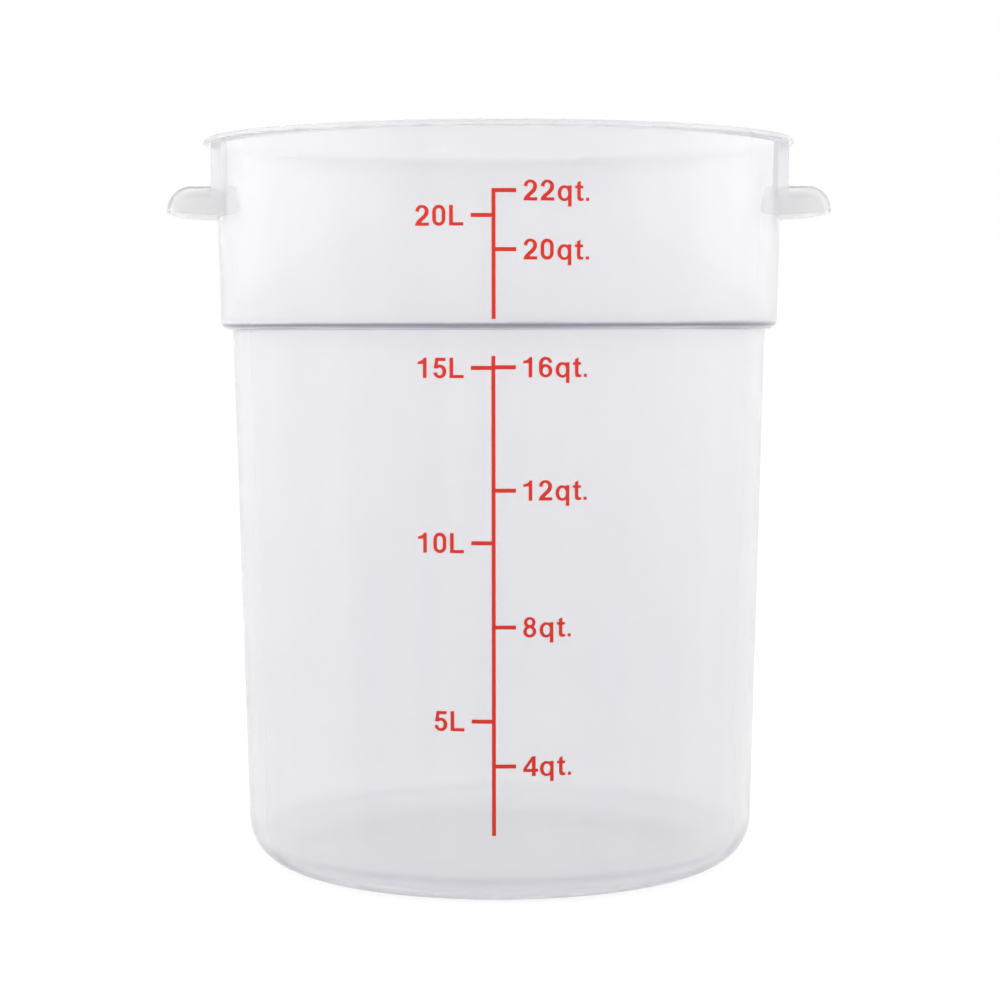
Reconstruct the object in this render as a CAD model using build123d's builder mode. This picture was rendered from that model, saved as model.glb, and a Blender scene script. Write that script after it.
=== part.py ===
from build123d import *
from math import radians, tan
import os

os.makedirs("parts", exist_ok=True)

# A round container for dough: one hollow injection moulding in clear plastic, with its
# volume scale screen-printed in red on the outside. The origin is the middle of the flat
# base, +Z runs up to the rim, the two handles lie along X and the scale faces -Y.
# All lengths are in millimetres and all angles in degrees.

# Vessel wall: a tapered body that stands on a rounded heel
height = 385.6
base_radius = 134.8
heel_radius = 24.0
draft_angle = 1.5
wall = 2.8
floor_thickness = 3.6

# Step from the body out to the wider collar, which is measured down from the rim
collar_depth = 100.1
step_width = 6.1
step_root_radius = 1.0
collar_corner_radius = 4.8
shelf_lip_radius = 1.2
shelf_root_radius = 1.6

# Flat flange round the rim, which a lid would grip
rim_overhang = 6.0
rim_thickness = 3.0
rim_edge_radius = 1.1
rim_root_radius = 0.8

# Handles: two hoods that are open below, with a flat pad above each
handle_reach = 26.3
handle_width = 80.0
handle_wall = 2.2
handle_below_rim = 25.4
handle_tip_height = 13.8
handle_root_height = 15.4
handle_shoulder_radius = 12.0
handle_end_radius = 7.0
pad_stand = 0.3

# Printed scale
ink_film = 0.1
rule_width = 1.95
rule_offset = 6.7
rule_below_step = 12.8
rule_above_base = 36.7
rule_above_step = 5.0
tick_length = 10.9
tick_thickness = 2.0
figure_height = 9.9
figure_gap = 3.5

# How far a cut or a print outline runs past what it has to reach
overrun = 4.0

# Heights of the marks, from the lowest up: on the body as shares of the step's height, on
# the collar as shares of the collar's depth, up from the step.
body_mark_shares = (
    ("4qt.", 0.250),
    ("5L", 0.328),
    ("8qt.", 0.491),
    ("10L", 0.636),
    ("12qt.", 0.726),
    ("15L", 0.935),
    ("16qt.", 0.936),
)
collar_mark_shares = (("20qt.", 0.384), ("20L", 0.547), ("22qt.", 0.665))

# Figures and letters, in shares of the figure height. Each has the step to the next one and
# a row of shapes that add ink or take it away, from the left end of its base line. A shape
# of two pairs is an oval, its centre and its two half widths, and a longer one is a closed
# outline.
ink = Mode.ADD
bare = Mode.SUBTRACT
figure_shares = {
    "0": (0.82, (
        (ink, ((0.32, 0.67), (0.32, 0.34))),
        (ink, ((0.32, 0.33), (0.32, 0.34))),
        (ink, ((0.0, 0.33), (0.64, 0.33), (0.64, 0.67), (0.0, 0.67))),
        (bare, ((0.32, 0.68), (0.14, 0.165))),
        (bare, ((0.32, 0.32), (0.14, 0.165))),
        (bare, ((0.18, 0.32), (0.46, 0.32), (0.46, 0.68), (0.18, 0.68))),
    )),
    "1": (0.77, (
        (ink, ((0.27, 0.0), (0.45, 0.0), (0.45, 1.0), (0.32, 1.0), (0.25, 0.90),
               (0.15, 0.84), (0.01, 0.81), (0.01, 0.68), (0.27, 0.70))),
    )),
    "2": (0.83, (
        (ink, ((0.335, 0.70), (0.325, 0.31))),
        (bare, ((0.33, 0.70), (0.14, 0.17))),
        (bare, ((0.0, 0.0), (0.70, 0.0), (0.70, 0.66), (0.47, 0.70), (0.20, 0.66),
                (0.0, 0.715))),
        (ink, ((0.0, 0.0), (0.67, 0.0), (0.67, 0.16), (0.29, 0.16), (0.36, 0.24),
               (0.50, 0.36), (0.60, 0.475), (0.645, 0.58), (0.66, 0.70), (0.47, 0.70),
               (0.44, 0.60), (0.36, 0.49), (0.19, 0.34), (0.06, 0.20), (0.01, 0.10))),
    )),
    "4": (0.83, (
        (ink, ((0.44, 1.0), (0.62, 1.0), (0.62, 0.37), (0.74, 0.37), (0.74, 0.21),
               (0.62, 0.21), (0.62, 0.0), (0.43, 0.0), (0.43, 0.21), (0.0, 0.21),
               (0.0, 0.38))),
        (bare, ((0.43, 0.37), (0.43, 0.73), (0.175, 0.37))),
    )),
    "5": (0.80, (
        (ink, ((0.325, 0.325), (0.325, 0.34))),
        (bare, ((0.315, 0.325), (0.14, 0.19))),
        (bare, ((0.0, 0.275), (0.20, 0.295), (0.20, 0.50), (0.0, 0.52))),
        (ink, ((0.11, 1.0), (0.61, 1.0), (0.61, 0.835), (0.255, 0.835), (0.225, 0.64),
               (0.31, 0.62), (0.27, 0.52), (0.195, 0.465), (0.03, 0.48))),
    )),
    "6": (0.83, (
        (ink, ((0.34, 0.67), (0.33, 0.34))),
        (ink, ((0.34, 0.33), (0.33, 0.34))),
        (ink, ((0.01, 0.33), (0.34, 0.33), (0.34, 0.67), (0.01, 0.67))),
        (bare, ((0.35, 0.67), (0.155, 0.19))),
        (bare, ((0.195, 0.30), (0.35, 0.30), (0.35, 0.67), (0.195, 0.67))),
        (bare, ((0.35, 0.45), (0.70, 0.45), (0.70, 0.72), (0.35, 0.70))),
        (ink, ((0.34, 0.32), (0.33, 0.33))),
        (bare, ((0.34, 0.32), (0.145, 0.19))),
    )),
    "8": (0.81, (
        (ink, ((0.325, 0.74), (0.29, 0.275))),
        (ink, ((0.325, 0.285), (0.325, 0.295))),
        (bare, ((0.325, 0.75), (0.125, 0.135))),
        (bare, ((0.325, 0.29), (0.15, 0.16))),
    )),
    "L": (0.69, (
        (ink, ((0.0, 0.0), (0.69, 0.0), (0.69, 0.16), (0.185, 0.16), (0.185, 1.0),
               (0.0, 1.0))),
    )),
    "q": (0.86, (
        (ink, ((0.33, 0.36), (0.33, 0.385))),
        (bare, ((0.35, 0.36), (0.17, 0.25))),
        (ink, ((0.51, -0.28), (0.69, -0.28), (0.69, 0.74), (0.51, 0.74))),
    )),
    "t": (0.54, (
        (ink, ((0.10, 0.14), (0.15, 0.02), (0.26, -0.015), (0.42, 0.01), (0.42, 0.14),
               (0.33, 0.13), (0.28, 0.18), (0.28, 0.60), (0.41, 0.60), (0.41, 0.735),
               (0.28, 0.735), (0.28, 0.97), (0.10, 0.88), (0.10, 0.735), (0.0, 0.735),
               (0.0, 0.60), (0.10, 0.60))),
    )),
    ".": (0.16, ((ink, ((0.0, 0.0), (0.16, 0.0), (0.16, 0.16), (0.0, 0.16))),)),
}

slope = tan(radians(draft_angle))
step_height = height - collar_depth
rim_underside = height - rim_thickness
shelf_height = step_height + wall
handle_top = height - handle_below_rim


def body_radius(z):
    return base_radius + z * slope


def collar_radius(z):
    return body_radius(z) + step_width


rim_radius = collar_radius(height) + rim_overhang
handle_wall_radius = collar_radius(handle_top)

# Outside and inside of the vessel, each a half section that is turned about the axis
outside_points = [
    (0, 0),
    (body_radius(0), 0),
    (body_radius(step_height), step_height),
    (collar_radius(step_height), step_height),
    (collar_radius(rim_underside), rim_underside),
    (rim_radius, rim_underside),
    (rim_radius, height),
    (0, height),
]
outside_radii = [
    heel_radius,
    step_root_radius,
    collar_corner_radius,
    rim_root_radius,
    rim_edge_radius,
    rim_edge_radius,
]
inside_points = [
    (0, floor_thickness),
    (body_radius(floor_thickness) - wall, floor_thickness),
    (body_radius(shelf_height) - wall, shelf_height),
    (collar_radius(shelf_height) - wall, shelf_height),
    (collar_radius(height + overrun) - wall, height + overrun),
    (0, height + overrun),
]
inside_radii = [heel_radius - wall, shelf_lip_radius, shelf_root_radius, 0]

with BuildPart() as outside:
    with BuildSketch(Plane.XZ):
        with BuildLine():
            FilletPolyline(*outside_points, radius=outside_radii)
            Line(outside_points[-1], outside_points[0])
        make_face()
    revolve(axis=Axis.Z)

with BuildPart() as inside:
    with BuildSketch(Plane.XZ):
        with BuildLine():
            FilletPolyline(*inside_points, radius=inside_radii)
            Line(inside_points[-1], inside_points[0])
        make_face()
    revolve(axis=Axis.Z)

# Each hood is a slice of a round drum whose outer top edge and ends are rounded. It is cut
# off below by a plane that runs a little uphill from the wall to the tip, and the flat pad
# stands on the wall between the hood and the rim.
handle_base = handle_top - handle_root_height - overrun
handle_start = handle_wall_radius - handle_reach
lip_rise = handle_root_height - handle_tip_height
lip_plane = Plane(
    origin=(handle_wall_radius, 0, handle_top - handle_root_height),
    x_dir=(handle_reach, 0, lip_rise),
    z_dir=(-lip_rise, 0, handle_reach),
)
pad_base = handle_top - handle_end_radius
pad_face = handle_wall_radius + pad_stand


def hood(inset):
    """One handle's hood, or with an inset the hollow inside it."""
    reach = handle_wall_radius + handle_reach - inset
    with BuildPart() as solid:
        with BuildSketch(Plane.XY.offset(handle_base)):
            Circle(reach)
            with Locations((reach, 0)):
                Rectangle(2 * (reach - handle_start), handle_width - 2 * inset, mode=Mode.INTERSECT)
        extrude(amount=handle_top - inset - handle_base)
        outer_top_edge = solid.faces().sort_by(Axis.Z)[-1].edges().sort_by(Axis.X)[-1]
        fillet(outer_top_edge, handle_shoulder_radius - inset)
        end_edges = []
        for end_face in solid.faces().filter_by(Axis.Y):
            back_edge = end_face.edges().sort_by(Axis.X)[0]
            bottom_edge = end_face.edges().sort_by(Axis.Z)[0]
            end_edges += [e for e in end_face.edges() if e not in (back_edge, bottom_edge)]
        fillet(end_edges, handle_end_radius - inset)
    return solid.part


with BuildPart() as handle:
    add(hood(0))
    with BuildSketch(Plane.XY.offset(pad_base)):
        with Locations((pad_face, 0)):
            Rectangle(pad_face - handle_start, handle_width, align=(Align.MAX, Align.CENTER))
    extrude(amount=rim_underside + rim_thickness / 2 - pad_base)
    add(hood(handle_wall), mode=Mode.SUBTRACT)
    split(bisect_by=lip_plane, keep=Keep.TOP)

with BuildPart() as vessel:
    add(outside.part)
    add(handle.part)
    mirror(handle.part, about=Plane.YZ)
    add(inside.part, mode=Mode.SUBTRACT)
    mouth_edge = vessel.edges().group_by(Axis.Z)[-1].sort_by(SortBy.LENGTH)[0]
    fillet(mouth_edge, rim_edge_radius)
vessel.part.label = "vessel"
export_step(vessel.part, "parts/vessel.step")


def wall_film(low, high, radius_at):
    """A skin as thick as the ink on the outside of the wall, from one height to another."""
    with BuildPart() as film:
        with BuildSketch(Plane.XZ):
            with BuildLine():
                Polyline(
                    (radius_at(low), low),
                    (radius_at(low) + ink_film, low),
                    (radius_at(high) + ink_film, high),
                    (radius_at(high), high),
                    close=True,
                )
            make_face()
        revolve(axis=Axis.Z)
    return film.part


def draw_bar(left, right, low, high):
    """A straight bar of ink."""
    with Locations((left, low)):
        Rectangle(right - left, high - low, align=(Align.MIN, Align.MIN))


def draw_figure(shapes, left, low):
    """One figure or letter of the scale, from the left end of its base line."""
    for mode, shape in shapes:
        if len(shape) == 2:
            (x, z), (half_x, half_z) = shape
            with Locations((left + x * figure_height, low + z * figure_height)):
                Ellipse(half_x * figure_height, half_z * figure_height, mode=mode)
        else:
            corners = [(left + x * figure_height, low + z * figure_height) for x, z in shape]
            Polygon(*corners, align=None, mode=mode)


def mark_height(share, low, high):
    return low + share * (high - low)


def print_on_wall(name, sketch, film):
    """Lays a flat print on the wall's curve and writes it as one node."""
    with BuildPart() as print_part:
        extrude(sketch, amount=rim_radius - print_start)
        add(film, mode=Mode.INTERSECT)
    print_part.part.label = name
    export_step(print_part.part, f"parts/{name}.step")


print_start = base_radius / 2
print_plane = Plane.XZ.offset(print_start)
rule_left = -rule_offset - rule_width / 2
rule_right = -rule_offset + rule_width / 2
quart_start = -rule_offset + tick_length + figure_gap
litre_end = -rule_offset - tick_length - figure_gap

body_film = wall_film(heel_radius, step_height - step_root_radius, body_radius)
collar_film = wall_film(step_height + collar_corner_radius, rim_underside, collar_radius)
top_mark = mark_height(collar_mark_shares[-1][-1], step_height, height)
zones = [
    {
        "name": "body",
        "marks": body_mark_shares,
        "span": (0, step_height),
        "rule": (rule_above_base, step_height - rule_below_step),
        "film": body_film,
    },
    {
        "name": "collar",
        "marks": collar_mark_shares,
        "span": (step_height, height),
        "rule": (step_height + rule_above_step, top_mark + tick_thickness / 2),
        "film": collar_film,
    },
]

for zone in zones:
    heights = {mark: mark_height(share, *zone["span"]) for mark, share in zone["marks"]}

    # The rule of this zone with its ticks, litres to the left and quarts to the right
    with BuildSketch(print_plane) as scale_line:
        draw_bar(rule_left, rule_right, *zone["rule"])
        for mark, middle in heights.items():
            low = middle - tick_thickness / 2
            high = middle + tick_thickness / 2
            if mark.endswith("L"):
                draw_bar(-rule_offset - tick_length, rule_right, low, high)
            else:
                draw_bar(rule_left, -rule_offset + tick_length, low, high)
    print_on_wall(f"scale_line_{zone['name']}", scale_line.sketch, zone["film"])

    # The figures of each mark, centred on its tick
    for mark, middle in heights.items():
        rows = [figure_shares[figure] for figure in mark]
        length = sum(step_share for step_share, shapes in rows) * figure_height
        left = litre_end - length if mark.endswith("L") else quart_start
        with BuildSketch(print_plane) as figures:
            for step_share, shapes in rows:
                draw_figure(shapes, left, middle - figure_height / 2)
                left += step_share * figure_height
        print_on_wall(f"figures_{mark.rstrip('.')}", figures.sketch, zone["film"])
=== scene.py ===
from math import cos, radians, sin

import bpy
from mathutils import Matrix, Vector

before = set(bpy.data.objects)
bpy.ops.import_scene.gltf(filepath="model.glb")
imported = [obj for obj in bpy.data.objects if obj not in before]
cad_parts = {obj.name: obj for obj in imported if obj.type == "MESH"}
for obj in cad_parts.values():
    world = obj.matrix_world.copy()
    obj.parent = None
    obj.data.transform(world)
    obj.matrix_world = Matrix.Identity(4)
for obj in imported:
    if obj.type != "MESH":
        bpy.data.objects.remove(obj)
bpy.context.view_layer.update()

# Vessel: one hollow injection moulding in clear, slightly milky plastic, with its floor,
# rounded heel, step, collar, rim flange and two hooded grips all in one piece. Its walls carry
# the faint upward flow lines of the moulding, a fine grain and the scuffs of use.
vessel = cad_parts["vessel"]
vessel_height = 0.3856
white = (1, 1, 1, 1)
thin_wall_colour = (1.0, 0.998, 1.0, 1)
thick_wall_colour = (0.982, 0.978, 0.998, 1)
plastic_index = 1.49
milky_share = 0.19
dull_share = 0.09
wall_roughness = 0.04
depth_tint = (0.75, 0.78, 0.95, 1)
depth_density = 1.0


def add_noise(tree, place, scale, detail):
    """A noise texture laid out by a vector output."""
    noise = tree.nodes.new("ShaderNodeTexNoise")
    noise.inputs["Scale"].default_value = scale
    noise.inputs["Detail"].default_value = detail
    tree.links.new(place, noise.inputs["Vector"])
    return noise.outputs["Fac"]


def add_range(tree, value, before, after=(0, 1), smooth=False):
    """An output moved from one span of numbers to another and held at its ends."""
    span = tree.nodes.new("ShaderNodeMapRange")
    if smooth:
        span.interpolation_type = "SMOOTHSTEP"
    names = ("From Min", "From Max", "To Min", "To Max")
    for name, number in zip(names, (*before, *after)):
        span.inputs[name].default_value = number
    tree.links.new(value, span.inputs["Value"])
    return span.outputs["Result"]


def add_math(tree, operation, *terms):
    """A sum of outputs and plain numbers, in the order of the node's sockets."""
    result = tree.nodes.new("ShaderNodeMath")
    result.operation = operation
    for term, socket in zip(terms, result.inputs):
        if isinstance(term, float):
            socket.default_value = term
        else:
            tree.links.new(term, socket)
    return result.outputs[0]


def add_colour_mix(tree, share, first, second, blend="MIX"):
    """A mix of two colours, each a plain colour or an output, by a plain or uneven share."""
    mix = tree.nodes.new("ShaderNodeMix")
    mix.data_type = "RGBA"
    mix.blend_type = blend
    for name, term in (("Factor", share), ("A", first), ("B", second)):
        if isinstance(term, (float, tuple)):
            mix.inputs[name].default_value = term
        else:
            tree.links.new(term, mix.inputs[name])
    return mix.outputs["Result"]


def add_relief(tree, height, strength, distance, below=None):
    """A bump from a height output, on top of another bump where there is one."""
    bump = tree.nodes.new("ShaderNodeBump")
    bump.inputs["Strength"].default_value = strength
    bump.inputs["Distance"].default_value = distance
    tree.links.new(height, bump.inputs["Height"])
    if below:
        tree.links.new(below, bump.inputs["Normal"])
    return bump.outputs["Normal"]


def new_material(name):
    """A material with nodes, and its tree, its main shader and its output node."""
    material = bpy.data.materials.new(name)
    material.use_nodes = True
    tree = material.node_tree
    return material, tree, tree.nodes["Principled BSDF"], tree.nodes["Material Output"]


def moulded_wall_group():
    """A node group for moulded plastic: its flow streaks, uneven gloss and faint relief."""
    group = bpy.data.node_groups.new("moulded_wall", "ShaderNodeTree")
    for name, direction, kind in (
        ("Base Roughness", "INPUT", "NodeSocketFloat"),
        ("Streaks", "OUTPUT", "NodeSocketFloat"),
        ("Roughness", "OUTPUT", "NodeSocketFloat"),
        ("Normal", "OUTPUT", "NodeSocketVector"),
    ):
        group.interface.new_socket(name, in_out=direction, socket_type=kind)
    outside = group.nodes.new("NodeGroupInput")
    result = group.nodes.new("NodeGroupOutput")
    place = group.nodes.new("ShaderNodeTexCoord").outputs["Object"]

    # Flow lines: long soft waves that run up the wall
    waves_per_metre = (30, 30, 1.8)
    wave_detail = 2.0
    streak_span = (0.3, 0.7)
    upward = group.nodes.new("ShaderNodeMapping")
    upward.inputs["Scale"].default_value = waves_per_metre
    group.links.new(place, upward.inputs["Vector"])
    flow = add_noise(group, upward.outputs["Vector"], 1.0, wave_detail)
    streaks = add_range(group, flow, streak_span, smooth=True)
    group.links.new(streaks, result.inputs["Streaks"])

    # Scuffs: short sparse scratches that lie at a slant
    scratches_per_metre = (420, 60, 24)
    scratch_slant = (0.5, 0.9, 0.3)
    scratch_detail = 1.0
    scratch_span = (0.70, 0.82)
    scratch_roughness = 0.08
    stretched = group.nodes.new("ShaderNodeMapping")
    stretched.inputs["Rotation"].default_value = scratch_slant
    stretched.inputs["Scale"].default_value = scratches_per_metre
    group.links.new(place, stretched.inputs["Vector"])
    scratch = add_noise(group, stretched.outputs["Vector"], 1.0, scratch_detail)
    scratch_mask = add_range(group, scratch, scratch_span)

    # Wear: broad patches where hands and cloths have dulled the gloss
    patches_per_metre = 14.0
    patch_detail = 4.0
    patch_span = (0.3, 0.7)
    worn_roughness = (-0.01, 0.03)
    wear = add_noise(group, place, patches_per_metre, patch_detail)
    wear_amount = add_range(group, wear, patch_span, worn_roughness)
    worn = add_math(group, "ADD", outside.outputs["Base Roughness"], wear_amount)
    scuffed = add_math(group, "MULTIPLY_ADD", scratch_mask, scratch_roughness, worn)
    group.links.new(scuffed, result.inputs["Roughness"])

    # Relief: the waves of the flow lines under the fine grain of the mould
    wave_strength = 0.10
    wave_depth = 0.0006
    grains_per_metre = 900.0
    grain_detail = 3.0
    grain_strength = 0.02
    grain_depth = 0.00004
    flow_relief = add_relief(group, flow, wave_strength, wave_depth)
    grain = add_noise(group, place, grains_per_metre, grain_detail)
    grain_relief = add_relief(group, grain, grain_strength, grain_depth, flow_relief)
    group.links.new(grain_relief, result.inputs["Normal"])
    return group


plastic, plastic_tree, plastic_shader, plastic_output = new_material("clear_plastic")
plastic_shader.inputs["IOR"].default_value = plastic_index
plastic_shader.inputs["Transmission Weight"].default_value = 1 - dull_share
wall_marks = plastic_tree.nodes.new("ShaderNodeGroup")
wall_marks.node_tree = moulded_wall_group()
wall_marks.inputs["Base Roughness"].default_value = wall_roughness
for name in ("Roughness", "Normal"):
    plastic_tree.links.new(wall_marks.outputs[name], plastic_shader.inputs[name])
streaked_colour = add_colour_mix(
    plastic_tree, wall_marks.outputs["Streaks"], thick_wall_colour, thin_wall_colour
)

# Painted light and shade by height, multiplied into the wall's colour: painted shade in two dark
# bands round the foot of the heel, painted light in a pale band just above it, a thin painted
# shade line and a faint one where the shelf of the step meets the walls, and a little darker
# again from under the rim up.
painted_light_and_shade_by_height = [
    (0, (1.0, 0.998, 1.0, 1)),
    (0.0038, (0.998, 0.995, 1.0, 1)),
    # painted shade: two dark bands round the foot of the heel
    (0.0048, (0.92, 0.916, 0.955, 1)),
    (0.0065, (0.93, 0.926, 0.960, 1)),
    (0.009, (0.97, 0.967, 0.985, 1)),
    (0.011, (0.96, 0.957, 0.980, 1)),
    (0.0125, (0.90, 0.896, 0.940, 1)),
    (0.014, (0.90, 0.896, 0.940, 1)),
    # painted light: a pale band just above the heel
    (0.0165, white),
    (0.062, white),
    (0.080, (0.987, 0.984, 0.996, 1)),
    # painted shade: a thin dark line and a faint one where the shelf of the step meets the walls
    (0.2871, (0.995, 0.994, 1.0, 1)),
    (0.2877, (0.18, 0.17, 0.28, 1)),
    (0.2883, (0.995, 0.994, 1.0, 1)),
    (0.2899, (0.995, 0.994, 1.0, 1)),
    (0.2904, (0.95, 0.947, 0.965, 1)),
    (0.2909, (0.995, 0.994, 1.0, 1)),
    # darker from just under the rim to the top
    (0.358, (0.995, 0.994, 1.0, 1)),
    (0.368, (0.962, 0.961, 0.970, 1)),
]
wall_place = plastic_tree.nodes.new("ShaderNodeTexCoord")
place_parts = plastic_tree.nodes.new("ShaderNodeSeparateXYZ")
plastic_tree.links.new(wall_place.outputs["Object"], place_parts.inputs[0])
height_share = add_range(plastic_tree, place_parts.outputs["Z"], (0, vessel_height))
painted_shading_ramp = plastic_tree.nodes.new("ShaderNodeValToRGB")
stops = painted_shading_ramp.color_ramp.elements
while len(stops) < len(painted_light_and_shade_by_height):
    stops.new(1)
for stop, (height, colour) in zip(stops, painted_light_and_shade_by_height):
    stop.position = height / vessel_height
    stop.color = colour
plastic_tree.links.new(height_share, painted_shading_ramp.inputs["Fac"])
wall_colour_and_painted_shading = add_colour_mix(
    plastic_tree, 1.0, streaked_colour, painted_shading_ramp.outputs["Color"], "MULTIPLY"
)

# The hoods of the grips are thinner than the wall. Painted light: their colour is set paler,
# with next to none of the wall's tint, to brighten them.
painted_hood_light_colour = (1.0, 0.996, 1.0, 1)
hood_root = 0.1515
hood_full = 0.154
sideways_place = add_math(plastic_tree, "ABSOLUTE", place_parts.outputs["X"])
painted_hood_light_mask = add_range(plastic_tree, sideways_place, (hood_root, hood_full))
plastic_colour_and_painted_shading = add_colour_mix(plastic_tree, painted_hood_light_mask, wall_colour_and_painted_shading, painted_hood_light_colour)
plastic_tree.links.new(plastic_colour_and_painted_shading, plastic_shader.inputs["Base Color"])

# The milk in the plastic lets part of the light through without an image
milk = plastic_tree.nodes.new("ShaderNodeBsdfTranslucent")
plastic_tree.links.new(plastic_colour_and_painted_shading, milk.inputs["Color"])
milky_wall = plastic_tree.nodes.new("ShaderNodeMixShader")
milky_wall.inputs["Fac"].default_value = milky_share
plastic_tree.links.new(plastic_shader.outputs["BSDF"], milky_wall.inputs[1])
plastic_tree.links.new(milk.outputs["BSDF"], milky_wall.inputs[2])
plastic_tree.links.new(milky_wall.outputs["Shader"], plastic_output.inputs["Surface"])
tint = plastic_tree.nodes.new("ShaderNodeVolumeAbsorption")
tint.inputs["Color"].default_value = depth_tint
tint.inputs["Density"].default_value = depth_density
plastic_tree.links.new(tint.outputs["Volume"], plastic_output.inputs["Volume"])
vessel.data.materials.clear()
vessel.data.materials.append(plastic)

# Printed scale: opaque red ink, screen-printed on the outside of the wall and baked on. The
# film is a little thinner in places and has a satin face.
thin_ink_colour = (0.66, 0.020, 0.008, 1)
thick_ink_colour = (0.76, 0.030, 0.012, 1)
blotches_per_metre = 260.0
blotch_detail = 4.0
ink_roughness = (0.30, 0.46)
film_strength = 0.2
film_depth = 0.00003
ink, ink_tree, ink_shader, ink_output = new_material("red_ink")
ink_place = ink_tree.nodes.new("ShaderNodeTexCoord").outputs["Object"]
film = add_noise(ink_tree, ink_place, blotches_per_metre, blotch_detail)
film_look = (
    ("Base Color", add_colour_mix(ink_tree, film, thin_ink_colour, thick_ink_colour)),
    ("Roughness", add_range(ink_tree, film, (0, 1), ink_roughness)),
    ("Normal", add_relief(ink_tree, film, film_strength, film_depth)),
)
for name, output in film_look:
    ink_tree.links.new(output, ink_shader.inputs[name])
for name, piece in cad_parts.items():
    if name != "vessel":
        piece.data.materials.clear()
        piece.data.materials.append(ink)

# Floor: a plain pale sheet that the container stands on, a hair below its base. It is white to
# the camera and keeps the container's shadow.
floor_half_side = 30.0
floor_level = -0.0002
floor_colour = (0.20, 0.20, 0.20, 1)
floor_lift = 0.85
floor_mesh = bpy.data.meshes.new("floor")
corners = [(-1, -1), (1, -1), (1, 1), (-1, 1)]
floor_points = [(x * floor_half_side, y * floor_half_side, floor_level) for x, y in corners]
floor_mesh.from_pydata(floor_points, [], [(0, 1, 2, 3)])
floor = bpy.data.objects.new("floor", floor_mesh)
bpy.context.scene.collection.objects.link(floor)
paper, paper_tree, paper_shader, paper_output = new_material("paper")
paper_shader.inputs["Base Color"].default_value = floor_colour
paper_shader.inputs["Roughness"].default_value = 1.0
paper_shader.inputs["Specular IOR Level"].default_value = 0.0
paper_shader.inputs["Emission Color"].default_value = white
paper_rays = paper_tree.nodes.new("ShaderNodeLightPath").outputs
straight = add_math(
    paper_tree, "MAXIMUM", paper_rays["Is Camera Ray"], paper_rays["Is Transmission Ray"]
)
seen_white = add_math(paper_tree, "MAXIMUM", straight, paper_rays["Is Glossy Ray"])
lift = add_math(paper_tree, "MULTIPLY", seen_white, floor_lift)
paper_tree.links.new(lift, paper_shader.inputs["Emission Strength"])
floor_mesh.materials.append(paper)

# Room light: a white studio that is darker behind the camera and brighter at the sides. The
# camera and the clear plastic see it at full white.
front_span = (-1.0, 0.0)
front_to_back_strength = (0.72, 1.0)
side_span = (0.5, 1.0)
side_strength = (0.0, 0.8)
world = bpy.data.worlds.new("room")
bpy.context.scene.world = world
world.use_nodes = True
room_tree = world.node_tree
room_rays = room_tree.nodes.new("ShaderNodeLightPath").outputs
full_white = add_math(
    room_tree, "MAXIMUM", room_rays["Is Camera Ray"], room_rays["Is Transmission Ray"]
)
direction = room_tree.nodes.new("ShaderNodeTexCoord")
direction_parts = room_tree.nodes.new("ShaderNodeSeparateXYZ")
room_tree.links.new(direction.outputs["Generated"], direction_parts.inputs[0])
front_to_back = add_range(
    room_tree, direction_parts.outputs["Y"], front_span, front_to_back_strength, smooth=True
)
sideways = add_math(room_tree, "ABSOLUTE", direction_parts.outputs["X"])
side_light = add_range(room_tree, sideways, side_span, side_strength, smooth=True)
both_lights = add_math(room_tree, "ADD", front_to_back, side_light)
room_strength = room_tree.nodes.new("ShaderNodeMix")
room_strength.inputs["B"].default_value = 1.0
room_tree.links.new(full_white, room_strength.inputs["Factor"])
room_tree.links.new(both_lights, room_strength.inputs["A"])
background = room_tree.nodes["Background"]
background.inputs["Color"].default_value = white
room_tree.links.new(room_strength.outputs[0], background.inputs["Strength"])

# Studio lamps: two wide soft boxes at the sides brighten the milky wall, most at the collar,
# and show no reflection of their own in it.
lamp_aside = 1.1
lamp_in_front = 0.45
lamp_height = 0.55
lamp_aim = Vector((0, 0, 0.42))
lamp_size = 0.8
lamp_spread = radians(50)
for lamp_name, side, power in (("left_soft_box", -1, 1.6), ("right_soft_box", 1, 1.4)):
    light = bpy.data.lights.new(lamp_name, "AREA")
    light.shape = "SQUARE"
    light.size = lamp_size
    light.spread = lamp_spread
    light.energy = power
    lamp = bpy.data.objects.new(lamp_name, light)
    bpy.context.scene.collection.objects.link(lamp)
    lamp_place = Vector((side * lamp_aside, -lamp_in_front, lamp_height))
    lamp.location = lamp_place
    aim = lamp_aim - lamp_place
    lamp.rotation_euler = aim.to_track_quat("-Z", "Y").to_euler()
    lamp.visible_camera = False
    lamp.visible_transmission = False
    lamp.visible_glossy = False

# Camera: at the height of the inner shelf, tilted down a little and turned slightly to the
# container's left.
camera_distance = 1.4014
eye_height = 0.28766
heading = radians(-1.6)
tilt = radians(3.851)
roll = -0.002
focal_length = 93.6
sensor_width = 36.0
sideways_share = 0.0007
forward = Vector((-sin(heading) * cos(tilt), cos(heading) * cos(tilt), -sin(tilt)))
level_right = Vector((cos(heading), sin(heading), 0))
level_up = level_right.cross(forward)
right = level_right * cos(roll) + level_up * sin(roll)
up = level_up * cos(roll) - level_right * sin(roll)
camera_data = bpy.data.cameras.new("camera")
camera_data.sensor_width = sensor_width
camera_data.lens = focal_length
camera_data.shift_x = sideways_share
camera = bpy.data.objects.new("camera", camera_data)
bpy.context.scene.collection.objects.link(camera)
camera.matrix_world = Matrix.Translation(
    (camera_distance * sin(heading), -camera_distance * cos(heading), eye_height)
) @ Matrix((right, up, -forward)).transposed().to_4x4()
bpy.context.scene.camera = camera
bpy.context.scene.view_settings.view_transform = "Standard"
